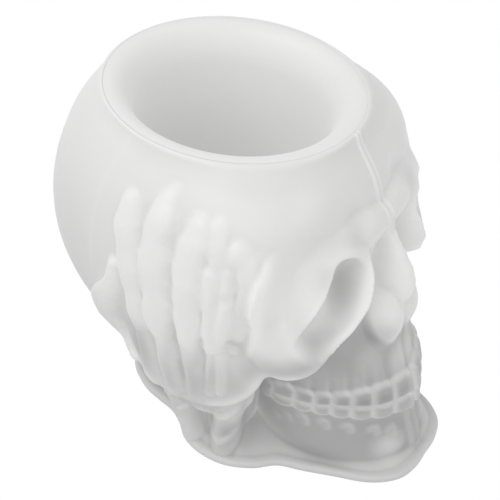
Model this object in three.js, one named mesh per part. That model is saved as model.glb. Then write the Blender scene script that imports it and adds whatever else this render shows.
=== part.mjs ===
// A silicone pouring mould for a skull-shaped pot, with a skeleton hand over each ear.
// The outer skin carries the skull in relief. A tapered cup on a flat ring drops into its crown
// and keeps the pot hollow. The casting is poured through the open bottom, upside down.
// Millimetres, +Z up, the face looks along -Y, and X = 0 is the plane of symmetry. The sizes are
// counted along Y from near the middle of the ring, and the finished mould is centred at the end.

import * as THREE from 'three';

// Sizes of the skin as a whole
const HEIGHT = 100;
const SKIN_WALL = 3.5;
const BOTTOM_LIP_REACH = 3;
const BOTTOM_LIP_THICKNESS = 2.5;

// Sizes of the crown: the ring, the seat that it drops into and the cup below it
const RING_RADIUS = 37;
const RING_CENTRE_Y = -0.8;
const CROWN_LIP = 1.1;
const SEAT_DEPTH = 4;
const SEAT_LEDGE = 3.5;
const SEAT_GAP = 0.3;
const RIM_WIDTH = 6;
const RIM_ROUNDING = 1.8;
const CUP_DEPTH = 62;
const CUP_TAPER = 5;
const CUP_WALL = 2.2;
const CUP_FLOOR = 2.5;
const CUP_CORNER = 4;
const CUP_SIDES = 72;

// Every level of the skin is drawn from one upright line inside the skull
const AXIS_Y = -14;

// Heights of the forms below are drawn on a mould of this height and stretch with HEIGHT
const DRAWN_HEIGHT = 100;

// The skull in profile: [height, place along Y] for forehead and nape, [height, half width]
const FOREHEAD = [
  [0, -24], [16, -34], [26, -38], [36, -41], [48, -44],
  [60, -47.5], [72, -49.3], [84, -46.6], [93, -42.8], [100, -37.6],
];
const NAPE = [
  [0, 17], [8, 18], [16, 23], [26, 33.5], [36, 41.5], [48, 47],
  [60, 48.8], [72, 47.8], [84, 44.4], [93, 40.6], [100, 36.2],
];
const SIDE = [
  [0, 22], [8, 22], [16, 24], [26, 33], [36, 40.5], [48, 45.5],
  [60, 48], [72, 48.2], [84, 46.2], [93, 42.6], [100, 37],
];
const FACE_SQUARENESS = 2.4;
const NAPE_SQUARENESS = 2.15;
const FACE_SQUARE_FROM = 30;
const FACE_SQUARE_ABOVE = 55;
const CROWN_CLOSING_HEIGHT = 20;
const CROWN_CLOSING_POWER = 4;

// The upper and lower jaw: its front in profile, its half width, and its centre along Y
const JAW_FRONT = [[0, -73], [8, -70.3], [16, -67.3], [26, -65.6], [37, -61.5], [46, -58.5], [62, -46]];
const JAW_HALF_WIDTH = [[0, 24], [8, 23], [32, 23], [40, 21.5], [50, 17], [62, 10]];
const JAW_CENTRE_Y = -42;
const JAW_BACK_REACH = 24;
const JAW_TOP = 61;

// The edge of the bottom lip, seen from below, from the chin round the right side to the nape
const BOTTOM_EDGE = [
  [0, -75.5], [7, -75.4], [13.6, -73.4], [19.2, -67.8], [23.5, -57.4], [26.8, -48.6],
  [29.3, -41.4], [34.2, -36], [37.9, -28.1], [37.8, -19.6], [35.4, -13.7], [30.8, -8.9],
  [27.8, -4.6], [26.3, 0.6], [24.3, 6.5], [18.9, 14], [7, 20], [0, 21],
];
const FLARE_HEIGHT = 13;

// Rounded masses of the face and wrist: centre, half sizes, turn outwards and lean backwards
const EYE_POUCH = { x: 24, y: -41, z: 60, rx: 20.5, ry: 14.5, rz: 22, turn: 38, lean: 12, blend: 3.5 };
const BROW = { x: 12, y: -38.5, z: 76.5, rx: 17, ry: 12, rz: 7, turn: 22, lean: 0, blend: 9 };
const NOSE_BRIDGE = { x: 0, y: -47, z: 60, rx: 6, ry: 11, rz: 14, turn: 0, lean: -16, blend: 4 };
const NOSE_WING = { x: 4.5, y: -53, z: 46, rx: 8, ry: 9.5, rz: 10.5, turn: 0, lean: -10, blend: 2.5 };
const WRIST = { x: 31, y: -21, z: 23, rx: 9, ry: 13, rz: 9, turn: 0, lean: 0, blend: 3 };
const FOREARM = { x: 22, y: -19, z: 4, rx: 11.5, ry: 9.5, rz: 36, turn: 0, lean: 0, blend: 3 };
const EYE_SOCKET = { x: 30.5, y: -55.5, z: 64, rx: 15, ry: 12.5, rz: 16, turn: 40, lean: 14, blend: 3 };

// The palm is a rounded pad that stands out from the side of the head
const PALM = { angle: 86, z: 47, halfLength: 25, halfHeight: 23, reach: 45.3, squareness: 2.6 };

// Bones of the hand in relief: [degrees from the face, height, half width, how far it stands out]
const MM_PER_DEGREE = 0.82;
const HAND_BONES = {
  index: [[112, 88, 2.6, 2], [110, 81, 3.6, 3.4], [108, 75, 3.2, 3], [107, 69, 3.6, 3.4],
    [105, 61, 2.9, 2.9], [105, 52, 3.6, 3.4], [103, 41, 3.2, 2.6], [99, 30, 3, 1.6]],
  middle: [[100.5, 93, 3, 2.2], [99.5, 89, 3.6, 3.4], [100, 82, 3.4, 3.2], [99, 73, 4.2, 3.8],
    [97.5, 65, 3.4, 3], [97, 54, 4, 3.6], [94, 41, 3, 2.8], [90, 30, 3, 1.6]],
  ring: [[88, 91, 3, 2.2], [88, 86, 3.4, 3.2], [87.5, 80, 3.4, 3.2], [86.5, 72, 4, 3.8],
    [85.5, 63, 3.6, 3.2], [85, 52, 3.8, 3.6], [83, 41, 3, 2.8], [81, 31, 2.6, 1.6]],
  littleTip: [[81, 92, 2.4, 1.8], [80, 88, 2.6, 2.6], [77.5, 82, 2.4, 2.4]],
  little: [[79, 77, 3.2, 3.6], [77.5, 71, 2.6, 3.2], [77, 62, 2.8, 3.4], [76, 49, 3.2, 3.4]],
  littleEdge: [[74, 79, 1.8, 2.6], [74, 71, 1.6, 2.2], [74, 62, 1.6, 2.2]],
  palmBoneRear: [[77.5, 47, 1.5, 2.6], [77, 32, 1.4, 1.8]],
  palmBoneFront: [[73.5, 47, 1.5, 2.6], [73, 33, 1.4, 1.8]],
  ear: [[75, 81, 2, 1.8], [71, 83, 2.6, 2.4], [68, 80, 2.6, 2.4], [67, 74, 2.4, 2], [68, 64, 2.2, 1.4]],
  thumb: [[113, 66, 1.9, 2.2], [114.5, 59, 2.1, 2.6], [119, 50, 3.8, 4.4], [120, 43, 3.6, 4.2],
    [116, 36, 2.8, 3.4], [110, 32, 2.8, 2.4]],
};

// The two forearm bones stand free of the neck, so their reach is given from the upright line
const FOREARM_ROOT = 29;
const FOREARM_BONES = [
  [[71, 28, 5.6, 12], [71.5, 16, 4.6, 10.5], [70, 4, 5.6, 10]],
  [[91, 27, 3.4, 9], [85, 15, 2.6, 8.5], [81, 5, 3.2, 7]],
];

// Teeth, in degrees from the middle of the face to the edge of each tooth, and their lines
const TOOTH_EDGES = [0, 9.5, 17.4, 24.2, 30, 35.3, 41.2, 48.7, 55];
const GUM_LINE = [[0, 29.6], [10, 30], [24, 29.7], [38, 27.2], [44, 26], [50, 22.8], [56, 21]];
const BITE_LINE = [[0, 22.6], [10, 23.8], [24, 25.1], [30, 25], [41, 22.6], [49, 19.8], [56, 18.5]];
const LOWER_TOOTH_LINE = [[0, 17], [10, 19.2], [24, 21], [35, 20.8], [41, 19.6], [49, 17.4], [56, 16]];
const UPPER_TOOTH_RELIEF = 1.7;
const LOWER_TOOTH_RELIEF = 1.5;
const TEETH_END = 54;

// The bead where the mould is cut to free the casting
const BEAD_HALF_WIDTH = 1.9;
const BEAD_RELIEF = 0.7;

// Columns of the skin lean with the fingers: the most degrees, their share by place and by height
const LEAN = 13;
const LEAN_BY_ANGLE = [[60, 0], [81, 0.3], [88, 0.55], [100, 0.77], [112, 1], [135, 0.8], [180, 0]];
const LEAN_BY_HEIGHT = [[0, 1], [30, 1], [41, 0.75], [52, 0.45], [61, 0.35], [75, 0.2], [90, 0]];

// How finely the skin is drawn
const HAND_STEPS = 24;
const CHEEK_STEPS = 5;
const NAPE_STEPS = 10;
const HAND_START = 72;
const HAND_END = 122;
const ROWS_ABOVE_GUM = 20;
const INNER_ROWS = 14;

const SEAT_RADIUS = RING_RADIUS - CROWN_LIP;
const SEAT_Z = HEIGHT - SEAT_DEPTH;
const CUP_MOUTH_RADIUS = RING_RADIUS - RIM_WIDTH;
const CUP_OUTER_RADIUS = CUP_MOUTH_RADIUS + CUP_WALL;
const THROAT_RADIUS = CUP_OUTER_RADIUS + 2 * SEAT_GAP;
const INNER_TOP = SEAT_Z - SEAT_LEDGE;
const INNER_STEP = INNER_TOP / INNER_ROWS;

// A smooth curve through [place, value] points, held level beyond its ends
function curve(points, place) {
  const last = points.length - 1;
  const t = Math.min(Math.max(place, points[0][0]), points[last][0]);
  let i = 0;
  while (i < last - 1 && t > points[i + 1][0]) {
    i += 1;
  }
  const slope = (j) => {
    const before = points[Math.max(j - 1, 0)];
    const after = points[Math.min(j + 1, last)];
    return (after[1] - before[1]) / (after[0] - before[0]);
  };
  const span = points[i + 1][0] - points[i][0];
  const u = (t - points[i][0]) / span;
  const rise = u * u * (3 - 2 * u);
  const start = points[i][1] * (1 - rise) + points[i + 1][1] * rise;
  return start + span * (slope(i) * u * (1 - u) * (1 - u) - slope(i + 1) * u * u * (1 - u));
}

function smoothStep(low, high, value) {
  const t = Math.min(Math.max((value - low) / (high - low), 0), 1);
  return t * t * (3 - 2 * t);
}

// The larger of two reaches, with their meeting rounded over a width
function softMax(a, b, width) {
  const near = Math.max(width - Math.abs(a - b), 0) / width;
  return Math.max(a, b) + near * near * width / 4;
}

function softMin(a, b, width) {
  return -softMax(-a, -b, width);
}

// Height of a point on the mould as it is drawn
function drawn(z) {
  return z * DRAWN_HEIGHT / HEIGHT;
}

// A level direction from the upright line, given in degrees from the face
function direction(degrees) {
  const radians = THREE.MathUtils.degToRad(degrees);
  return { side: Math.sin(radians), front: Math.cos(radians) };
}

// Reach from the upright line to a circle round the centre of the crown
function circleReach(degrees, radius) {
  const { front } = direction(degrees);
  const offset = RING_CENTRE_Y - AXIS_Y;
  return Math.sqrt(offset * offset * (front * front - 1) + radius * radius) - offset * front;
}

// Reach to a rounded outline with its own half width, front and back
function outlineReach(degrees, halfWidth, front, back) {
  const along = direction(degrees);
  const power = along.front > 0 ? front.power : back.power;
  const reach = along.front > 0 ? front.reach : back.reach;
  const sum = (along.side / halfWidth) ** power + (Math.abs(along.front) / reach) ** power;
  return sum ** (-1 / power);
}

// Reach to an egg-shaped outline whose widest place lies in front of the upright line
function eggReach(degrees, halfWidth, centreY, frontReach, backReach) {
  const { side, front } = direction(degrees);
  const offset = AXIS_Y - centreY;
  const exit = (reach) => {
    const a = (side / halfWidth) ** 2 + (front / reach) ** 2;
    const b = -offset * front / (reach * reach);
    const c = (offset / reach) ** 2 - 1;
    return (Math.sqrt(Math.max(b * b - a * c, 0)) - b) / a;
  };
  const ahead = exit(frontReach);
  return AXIS_Y - front * ahead < centreY ? ahead : exit(backReach);
}

// Where a level ray from the upright line meets an ellipsoid: both distances, or how far it misses
function massCrossing(degrees, z, mass) {
  const { side, front } = direction(degrees);
  const turn = direction(mass.turn);
  const lean = direction(mass.lean);
  const local = (x, y, w) => {
    const across = turn.front * x + turn.side * y;
    const deep = turn.front * y - turn.side * x;
    return [
      across / mass.rx,
      (lean.front * deep - lean.side * w) / mass.ry,
      (lean.side * deep + lean.front * w) / mass.rz,
    ];
  };
  const from = local(-mass.x, AXIS_Y - mass.y, z - mass.z);
  const along = local(side, -front, 0);
  const dot = (p, q) => p[0] * q[0] + p[1] * q[1] + p[2] * q[2];
  const a = dot(along, along);
  const middle = -dot(from, along) / a;
  const square = middle * middle - (dot(from, from) - 1) / a;
  return { middle, half: Math.sqrt(Math.abs(square)), hit: square > 0 };
}

function addMass(reach, degrees, z, mass) {
  const cross = massCrossing(degrees, z, mass);
  const outer = cross.hit ? cross.middle + cross.half : cross.middle - 2 * cross.half;
  return softMax(reach, outer, mass.blend);
}

function hollowOut(reach, degrees, z, mass) {
  const cross = massCrossing(degrees, z, mass);
  if (cross.middle < 0) {
    return reach;
  }
  const inner = cross.hit ? cross.middle - cross.half : cross.middle + 2 * cross.half;
  return softMin(reach, inner, mass.blend);
}

// Relief of one bone: a rounded ridge along its points, with swellings where they widen
function boneRelief(bone, degrees, z) {
  let relief = 0;
  for (let i = 0; i < bone.length - 1; i += 1) {
    const [angle, height, width, rise] = bone[i];
    const [nextAngle, nextHeight, nextWidth, nextRise] = bone[i + 1];
    const runX = (nextAngle - angle) * MM_PER_DEGREE;
    const runZ = nextHeight - height;
    const x = (degrees - angle) * MM_PER_DEGREE;
    const along = (x * runX + (z - height) * runZ) / (runX * runX + runZ * runZ);
    const t = Math.min(Math.max(along, 0), 1);
    const away = Math.hypot(x - t * runX, z - height - t * runZ);
    const halfWidth = width + (nextWidth - width) * t;
    const roundness = Math.max(1 - (away / halfWidth) ** 2, 0) ** 0.8;
    relief = Math.max(relief, (rise + (nextRise - rise) * t) * roundness);
  }
  return relief;
}

function toothRelief(degrees, z) {
  let tooth = 0;
  while (tooth < TOOTH_EDGES.length - 2 && degrees > TOOTH_EDGES[tooth + 1]) {
    tooth += 1;
  }
  const middle = (TOOTH_EDGES[tooth] + TOOTH_EDGES[tooth + 1]) / 2;
  const across = (degrees - middle) / (TOOTH_EDGES[tooth + 1] - middle);
  const row = (top, bottom, relief) => {
    const up = (z - (top + bottom) / 2) / ((top - bottom) / 2);
    return relief * Math.sqrt(Math.max(1 - across ** 4, 0) * Math.max(1 - up ** 4, 0));
  };
  const bite = curve(BITE_LINE, degrees);
  const upper = row(curve(GUM_LINE, degrees), bite, UPPER_TOOTH_RELIEF);
  const lower = row(bite, curve(LOWER_TOOTH_LINE, degrees), LOWER_TOOTH_RELIEF);
  return Math.max(upper, lower) * (1 - smoothStep(TEETH_END - 5, TEETH_END, degrees));
}

// Edge of the bottom lip, read from its outline by direction
const bottomEdgeByAngle = BOTTOM_EDGE.map(([x, y]) => {
  const away = y - AXIS_Y;
  return [THREE.MathUtils.radToDeg(Math.atan2(x, -away)), Math.hypot(x, away)];
});

function bottomEdgeReach(degrees) {
  return curve(bottomEdgeByAngle, degrees);
}

function craniumReach(degrees, z) {
  const level = drawn(z);
  const face = 2 + (FACE_SQUARENESS - 2) * smoothStep(FACE_SQUARE_FROM, FACE_SQUARE_ABOVE, level);
  const front = { reach: AXIS_Y - curve(FOREHEAD, level), power: face };
  const back = { reach: curve(NAPE, level) - AXIS_Y, power: NAPE_SQUARENESS };
  const free = outlineReach(degrees, curve(SIDE, level), front, back);
  const closing = Math.min(Math.max(1 - (HEIGHT - z) / CROWN_CLOSING_HEIGHT, 0), 1);
  const toRing = closing ** CROWN_CLOSING_POWER;
  return free * (1 - toRing) + circleReach(degrees, RING_RADIUS) * toRing;
}

function jawReach(degrees, z) {
  const ahead = JAW_CENTRE_Y - curve(JAW_FRONT, z);
  const reach = eggReach(degrees, curve(JAW_HALF_WIDTH, z), JAW_CENTRE_Y, ahead, JAW_BACK_REACH);
  return reach + toothRelief(degrees, z) - 60 * smoothStep(JAW_TOP - 5, JAW_TOP + 5, z);
}

function palmReach(reach, degrees, z) {
  const along = Math.abs(degrees - PALM.angle) * MM_PER_DEGREE / PALM.halfLength;
  const up = Math.abs(z - PALM.z) / PALM.halfHeight;
  const edge = (along ** PALM.squareness + up ** PALM.squareness) ** (1 / PALM.squareness);
  const inside = 1 - smoothStep(0.86, 1.03, edge);
  return reach + (Math.max(reach, PALM.reach) - reach) * inside;
}

// Reach of the head above the bottom lip, before the bones of the hand lie on it
function headReach(signedDegrees, z) {
  const degrees = Math.abs(signedDegrees);
  const level = drawn(z);
  let reach = softMax(craniumReach(degrees, z), jawReach(degrees, level), 3);
  reach = addMass(reach, degrees, level, EYE_POUCH);
  reach = addMass(reach, degrees, level, BROW);
  reach = addMass(reach, degrees, level, NOSE_BRIDGE);
  reach = addMass(reach, degrees, level, NOSE_WING);
  reach = hollowOut(reach, degrees, level, EYE_SOCKET);
  reach = palmReach(reach, degrees, level);
  reach = addMass(reach, degrees, level, WRIST);
  reach = addMass(reach, degrees, level, FOREARM);
  const flare = 1 - smoothStep(BOTTOM_LIP_THICKNESS, FLARE_HEIGHT, z);
  const foot = bottomEdgeReach(degrees) - BOTTOM_LIP_REACH;
  return softMax(reach, foot * flare + 12 * (1 - flare), 2);
}

// The same with every bone and the bead on it
function outerReach(signedDegrees, z) {
  const degrees = Math.abs(signedDegrees);
  const level = drawn(z);
  let reach = headReach(degrees, z);
  let relief = 0;
  for (const bone of Object.values(HAND_BONES)) {
    relief = Math.max(relief, boneRelief(bone, degrees, level));
  }
  reach += relief;
  for (const bone of FOREARM_BONES) {
    const rise = boneRelief(bone, degrees, level);
    reach = rise > 0 ? softMax(reach, FOREARM_ROOT + rise, 1.5) : reach;
  }
  const bead = Math.max(1 - (degrees * MM_PER_DEGREE / BEAD_HALF_WIDTH) ** 4, 0);
  return reach + BEAD_RELIEF * bead;
}

// Columns of the skin: every tooth has its own four, the hand has a fine run, the nape a coarse one
function columnAngles() {
  const angles = [];
  for (let i = 0; i < TOOTH_EDGES.length - 1; i += 1) {
    const width = TOOTH_EDGES[i + 1] - TOOTH_EDGES[i];
    for (const share of [0, 0.2, 0.5, 0.8]) {
      angles.push(TOOTH_EDGES[i] + share * width);
    }
  }
  const run = (from, to, steps) => {
    for (let i = 0; i < steps; i += 1) {
      angles.push(from + (to - from) * i / steps);
    }
  };
  run(TOOTH_EDGES[TOOTH_EDGES.length - 1], HAND_START, CHEEK_STEPS);
  run(HAND_START, HAND_END, HAND_STEPS);
  run(HAND_END, 180, NAPE_STEPS);
  angles.push(180);
  const otherSide = angles.slice(1, -1).reverse().map((angle) => -angle);
  return angles.concat(otherSide);
}

// Heights of the outer rows at one column: they follow the tooth lines round the face
function outerHeights(signedDegrees) {
  const degrees = Math.abs(signedDegrees);
  const heightOf = (line) => curve(line, degrees) * HEIGHT / DRAWN_HEIGHT;
  const low = heightOf(LOWER_TOOTH_LINE);
  const bite = heightOf(BITE_LINE);
  const gum = heightOf(GUM_LINE);
  const between = (from, to, shares) => shares.map((share) => from + (to - from) * share);
  const heights = [
    ...between(BOTTOM_LIP_THICKNESS, low, [0, 0.3, 0.55, 0.8]),
    ...between(low, bite, [0, 0.2, 0.8]),
    ...between(bite, gum, [0, 0.15, 0.85]),
  ];
  for (let i = 0; i <= ROWS_ABOVE_GUM; i += 1) {
    heights.push(gum + (HEIGHT - gum) * i / ROWS_ABOVE_GUM);
  }
  return heights;
}

// Where a column stands at a height
function leaned(angle, z) {
  const away = Math.abs(angle);
  return Math.sign(angle) * (away - LEAN * curve(LEAN_BY_ANGLE, away) * curve(LEAN_BY_HEIGHT, drawn(z)));
}

function skinPoint(degrees, reach, z) {
  const { side, front } = direction(degrees);
  return [-side * reach, AXIS_Y - front * reach, z];
}

// Reach of the wall, kept inside the lip where it runs down to the bottom
function wallReach(reachAt, degrees, z) {
  const level = Math.max(z, BOTTOM_LIP_THICKNESS);
  const reach = reachAt(degrees, level);
  const edge = bottomEdgeReach(Math.abs(degrees)) - BOTTOM_LIP_REACH / 4;
  return level > BOTTOM_LIP_THICKNESS ? reach : Math.min(reach, edge);
}

function buildSkin() {
  const angles = columnAngles();
  const fineCount = angles.length;
  const heights = angles.map(outerHeights);
  const rings = [];
  const addRing = (columns, reachAt, heightAt) => {
    rings.push(columns.map((angle, i) => {
      const z = heightAt(i);
      const degrees = leaned(angle, z);
      return skinPoint(degrees, reachAt(degrees, z, i), z);
    }));
  };
  const edgeReach = (degrees) => bottomEdgeReach(Math.abs(degrees));
  const seatReach = (degrees) => circleReach(Math.abs(degrees), SEAT_RADIUS);
  const throatReach = (degrees) => circleReach(Math.abs(degrees), THROAT_RADIUS);
  addRing(angles, edgeReach, () => 0);
  addRing(angles, edgeReach, () => BOTTOM_LIP_THICKNESS);
  for (let row = 0; row < heights[0].length; row += 1) {
    addRing(angles, (degrees, z) => wallReach(outerReach, degrees, z), (i) => heights[i][row]);
  }
  addRing(angles, seatReach, () => HEIGHT);
  addRing(angles, seatReach, () => SEAT_Z);

  // The inner side follows the head at the wall's distance from its deepest hollows near by
  const coarse = angles.filter((_, i) => i % 2 === 0);
  const innerReach = (degrees, z, i) => {
    let least = Infinity;
    for (let side = -1; side <= 1; side += 1) {
      const near = leaned(angles[(2 * i + side + fineCount) % fineCount], z);
      for (let level = -2; level <= 2; level += 1) {
        const nearZ = Math.min(z + level * INNER_STEP / 2, INNER_TOP + SEAT_LEDGE / 2);
        least = Math.min(least, wallReach(headReach, near, nearZ));
      }
    }
    return least - SKIN_WALL;
  };
  addRing(coarse, throatReach, () => SEAT_Z);
  addRing(coarse, throatReach, () => INNER_TOP);
  for (let row = INNER_ROWS; row >= 0; row -= 1) {
    addRing(coarse, innerReach, () => row * INNER_STEP);
  }
  return closedShell(rings);
}

// Joins rings of points into one closed band. Where a ring has half the points, two meet one.
function closedShell(rings) {
  const points = rings.flat();
  const starts = [];
  let count = 0;
  for (const ring of rings) {
    starts.push(count);
    count += ring.length;
  }
  const apart = (a, b) => Math.hypot(...points[a].map((value, axis) => value - points[b][axis]));
  const triangles = [];
  for (let r = 0; r < rings.length; r += 1) {
    const next = (r + 1) % rings.length;
    const here = rings[r].length;
    const there = rings[next].length;
    const low = (i) => starts[r] + (i + here) % here;
    const high = (i) => starts[next] + (i + there) % there;
    for (let i = 0; i < Math.min(here, there); i += 1) {
      if (here === there && apart(low(i), high(i + 1)) < apart(low(i + 1), high(i))) {
        triangles.push(low(i), high(i), high(i + 1), low(i), high(i + 1), low(i + 1));
      } else if (here === there) {
        triangles.push(low(i), high(i), low(i + 1), low(i + 1), high(i), high(i + 1));
      } else if (here > there) {
        triangles.push(low(2 * i), high(i), low(2 * i + 1));
        triangles.push(low(2 * i + 1), high(i), high(i + 1));
        triangles.push(low(2 * i + 1), high(i + 1), low(2 * i + 2));
      } else {
        triangles.push(low(i), high(2 * i), high(2 * i + 1));
        triangles.push(low(i), high(2 * i + 1), low(i + 1));
        triangles.push(low(i + 1), high(2 * i + 1), high(2 * i + 2));
      }
    }
  }
  const geometry = new THREE.BufferGeometry();
  geometry.setAttribute('position', new THREE.Float32BufferAttribute(points.flat(), 3));
  geometry.setIndex(triangles);
  geometry.computeVertexNormals();
  return geometry;
}

// The cup on its ring, turned from one closed profile of [radius, height]
function buildCore() {
  const flangeRadius = SEAT_RADIUS - SEAT_GAP;
  const flangeZ = SEAT_Z + SEAT_GAP;
  const floorZ = HEIGHT - CUP_DEPTH;
  const floorRadius = CUP_MOUTH_RADIUS - CUP_TAPER;
  const taperAt = (z) => CUP_TAPER * (HEIGHT - z) / CUP_DEPTH;
  const profile = [
    [0, floorZ - CUP_FLOOR],
    [floorRadius + CUP_WALL - CUP_CORNER, floorZ - CUP_FLOOR],
    [floorRadius + CUP_WALL - CUP_CORNER * 0.3, floorZ - CUP_FLOOR + CUP_CORNER * 0.3],
    [CUP_OUTER_RADIUS - taperAt(floorZ + CUP_CORNER), floorZ - CUP_FLOOR + CUP_CORNER],
    [CUP_OUTER_RADIUS - taperAt(flangeZ), flangeZ],
    [flangeRadius, flangeZ],
    [flangeRadius, HEIGHT],
    [CUP_MOUTH_RADIUS + RIM_ROUNDING, HEIGHT],
    [CUP_MOUTH_RADIUS + RIM_ROUNDING * 0.3, HEIGHT - RIM_ROUNDING * 0.3],
    [CUP_MOUTH_RADIUS - taperAt(HEIGHT - RIM_ROUNDING), HEIGHT - RIM_ROUNDING],
    [floorRadius + taperAt(HEIGHT - CUP_CORNER), floorZ + CUP_CORNER],
    [floorRadius - CUP_CORNER * 0.3, floorZ + CUP_CORNER * 0.3],
    [floorRadius - CUP_CORNER, floorZ],
    [0, floorZ],
  ];
  const turned = new THREE.LatheGeometry(
    profile.map(([radius, z]) => new THREE.Vector2(radius, z)),
    CUP_SIDES,
  );
  turned.rotateX(Math.PI / 2);
  return turned;
}

const silicone = () => new THREE.MeshStandardMaterial({
  color: 0xe4e4e2,
  roughness: 0.45,
  metalness: 0,
});

const skin = new THREE.Mesh(buildSkin(), silicone());
skin.name = 'skull_skin';

const core = new THREE.Mesh(buildCore(), silicone());
core.name = 'cup_core';

// The origin is the middle of the mould's length and width, on the bottom plane
skin.geometry.computeBoundingBox();
const { min, max } = skin.geometry.boundingBox;
const toMiddle = -(min.y + max.y) / 2;
skin.position.set(0, toMiddle, 0);
core.position.set(0, RING_CENTRE_Y + toMiddle, 0);

const mould = new THREE.Group();
mould.add(skin, core);

export default mould;
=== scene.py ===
import math

import bpy
import numpy as np
from mathutils import Matrix, Vector


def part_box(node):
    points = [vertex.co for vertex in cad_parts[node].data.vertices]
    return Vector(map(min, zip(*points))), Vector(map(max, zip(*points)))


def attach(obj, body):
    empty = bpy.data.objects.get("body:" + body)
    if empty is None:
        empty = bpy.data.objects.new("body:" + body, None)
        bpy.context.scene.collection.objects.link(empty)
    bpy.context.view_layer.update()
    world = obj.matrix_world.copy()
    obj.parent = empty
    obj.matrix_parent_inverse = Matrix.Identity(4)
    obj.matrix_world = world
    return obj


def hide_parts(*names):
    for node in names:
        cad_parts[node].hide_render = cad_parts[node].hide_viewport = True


bl_info = {
    "name": "Skull pouring mould",
    "version": (1, 0, 0),
    "blender": (4, 5, 0),
    "location": "3D View > Sidebar > Mould",
    "description": "Makes the silicone skin, the cup core and the studio of a skull pouring mould",
    "category": "Add Mesh",
}

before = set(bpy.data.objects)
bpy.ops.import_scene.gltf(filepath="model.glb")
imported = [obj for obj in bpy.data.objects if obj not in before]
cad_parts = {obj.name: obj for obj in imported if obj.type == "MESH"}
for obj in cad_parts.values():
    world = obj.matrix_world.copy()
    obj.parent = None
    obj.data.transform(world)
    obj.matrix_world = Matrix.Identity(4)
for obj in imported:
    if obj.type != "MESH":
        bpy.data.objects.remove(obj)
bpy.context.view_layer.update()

MM = 0.001

# The drawing counts along Y from this upright line; the frame's origin is the middle of the mould
AXIS_Y = -14.0
RING_CENTRE_Y = -0.8
core_low, core_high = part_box("cup_core")
TO_MIDDLE = (core_low.y + core_high.y) / 2 / MM - RING_CENTRE_Y

# Forms on the skin are drawn in degrees from the face and in heights. A degree is about this long
MM_PER_DEGREE = 0.82

# The skull in profile: heights, then the place along Y or the half width there
LEVELS = [0, 8, 16, 26, 36, 48, 60, 72, 84, 93, 100]
FOREHEAD = [-24, -28, -34, -38, -41, -44, -47.5, -49.3, -46.6, -42.8, -37.6]
NAPE = [17, 18, 23, 33.5, 41.5, 47, 48.8, 47.8, 44.4, 40.6, 36.2]
SIDE = [22, 22, 24, 33, 40.5, 45.5, 48, 48.2, 46.2, 42.6, 37]

# How square the skull is seen from above: 2 is an ellipse. The face gets squarer between two heights
FACE_POWER, FACE_SQUARER, FACE_SQUARE_HEIGHTS = 2.0, 0.4, (30, 55)
NAPE_POWER = 2.15

# Below the ring the skull runs out into a circle over this height
RING_BLEND_HEIGHT, RING_BLEND_POWER = 20, 4

# The jaw: its front, half width, own upright line, length behind that line, and where it ends
JAW_FRONT = ([0, 4, 8, 12, 16, 20, 26, 32, 37, 46, 55, 62],
             [-73, -71.8, -70.3, -68.5, -67.3, -67, -65.6, -63.3, -61.5, -58.5, -54, -46])
JAW_WIDTH = ([0, 8, 16, 20, 26, 32, 40, 50, 62], [24, 23.5, 23, 23, 23, 23, 21.5, 17, 10])
JAW_Y = -42
JAW_REAR = 24.0
JAW_TOP = (56, 66)
JAW_SINK = 60
JAW_BLEND = 3.0

# The edge of the bottom lip, in millimetres of the drawing, and the flare that runs out into it
BOTTOM_EDGE = [
    (0, -75.5), (7, -75.4), (13.6, -73.4), (19.2, -67.8), (23.5, -57.4), (26.8, -48.6),
    (29.3, -41.4), (34.2, -36), (37.9, -28.1), (37.8, -19.6), (35.4, -13.7), (30.8, -8.9),
    (27.8, -4.6), (26.3, 0.6), (24.3, 6.5), (21.5, 10.9), (18.9, 14), (13.4, 17.9), (7, 20), (0, 21),
]
FLARE_HEIGHT = 13
FLARE_INSIDE = 12
FLARE_BLEND = 2.0
LIP_ROUNDING = 0.6

# Rounded masses: centre, half sizes, turn outwards, lean backwards and the width of the blend
BROW = ((12, -38.5, 77.5), (17, 10.5, 6.5), 22, 0, 9.0)
NOSE_LOBE = ((5.0, -52.5, 47), (6.6, 9.2, 10.4), 0, -12, 3.2)
WRIST = ((30.5, -16.5, 23), (9, 15, 8), 0, 0, 3.0)
FOREARM = ((22, -19, 4), (11.5, 9.5, 36), 0, 0, 3.0)

# The palm: a pad at one reach, with its middle, half sizes, squareness and soft edge
PALM_REACH = 45.3
PALM_CENTRE = (86, 47)
PALM_SIZE = (25, 23)
PALM_MM_PER_DEGREE = 0.8
PALM_POWER = 2.6
PALM_EDGE = (0.86, 1.03)

# The pouch round each eye: a rounded mass cut off at an outline of degrees and heights. The edge
# drops over a width that changes with the direction: 0 towards the temple, 90 up.
EYE_POUCH = ((24, -41, 60), (21.2, 14, 24), 38, 12, 0)
POUCH_CENTRE = (42, 61)
POUCH_OUTLINE = [
    (66.8, 69), (66.2, 63.5), (65.2, 60), (65.8, 54), (66.3, 47), (66, 42.5), (62, 40), (55, 39.2),
    (48, 40.5), (43.5, 43), (40, 46.5), (34.5, 48.2), (30, 50.2), (26, 52.8), (23, 56.5),
    (20.8, 61.2), (18.6, 67), (17.5, 72.5), (21, 78.5), (31, 82.5), (42, 85.5), (52, 86), (59, 84),
    (63.5, 80.8), (66, 75),
]
POUCH_EDGE_WIDTH = ([-180, -150, -120, -60, -30, 20, 45, 75, 120, 155, 180],
                    [3.5, 7.0, 7.0, 2.0, 1.6, 2, 4, 10, 10, 4, 3.5])
POUCH_LEAST_RISE = ([-180, -140, -60, 0, 30, 65, 150, 180], [1.6, 1.2, 2.2, 3, 3, 0, 0, 1.6])
POUCH_BLEND = 1.5

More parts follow.
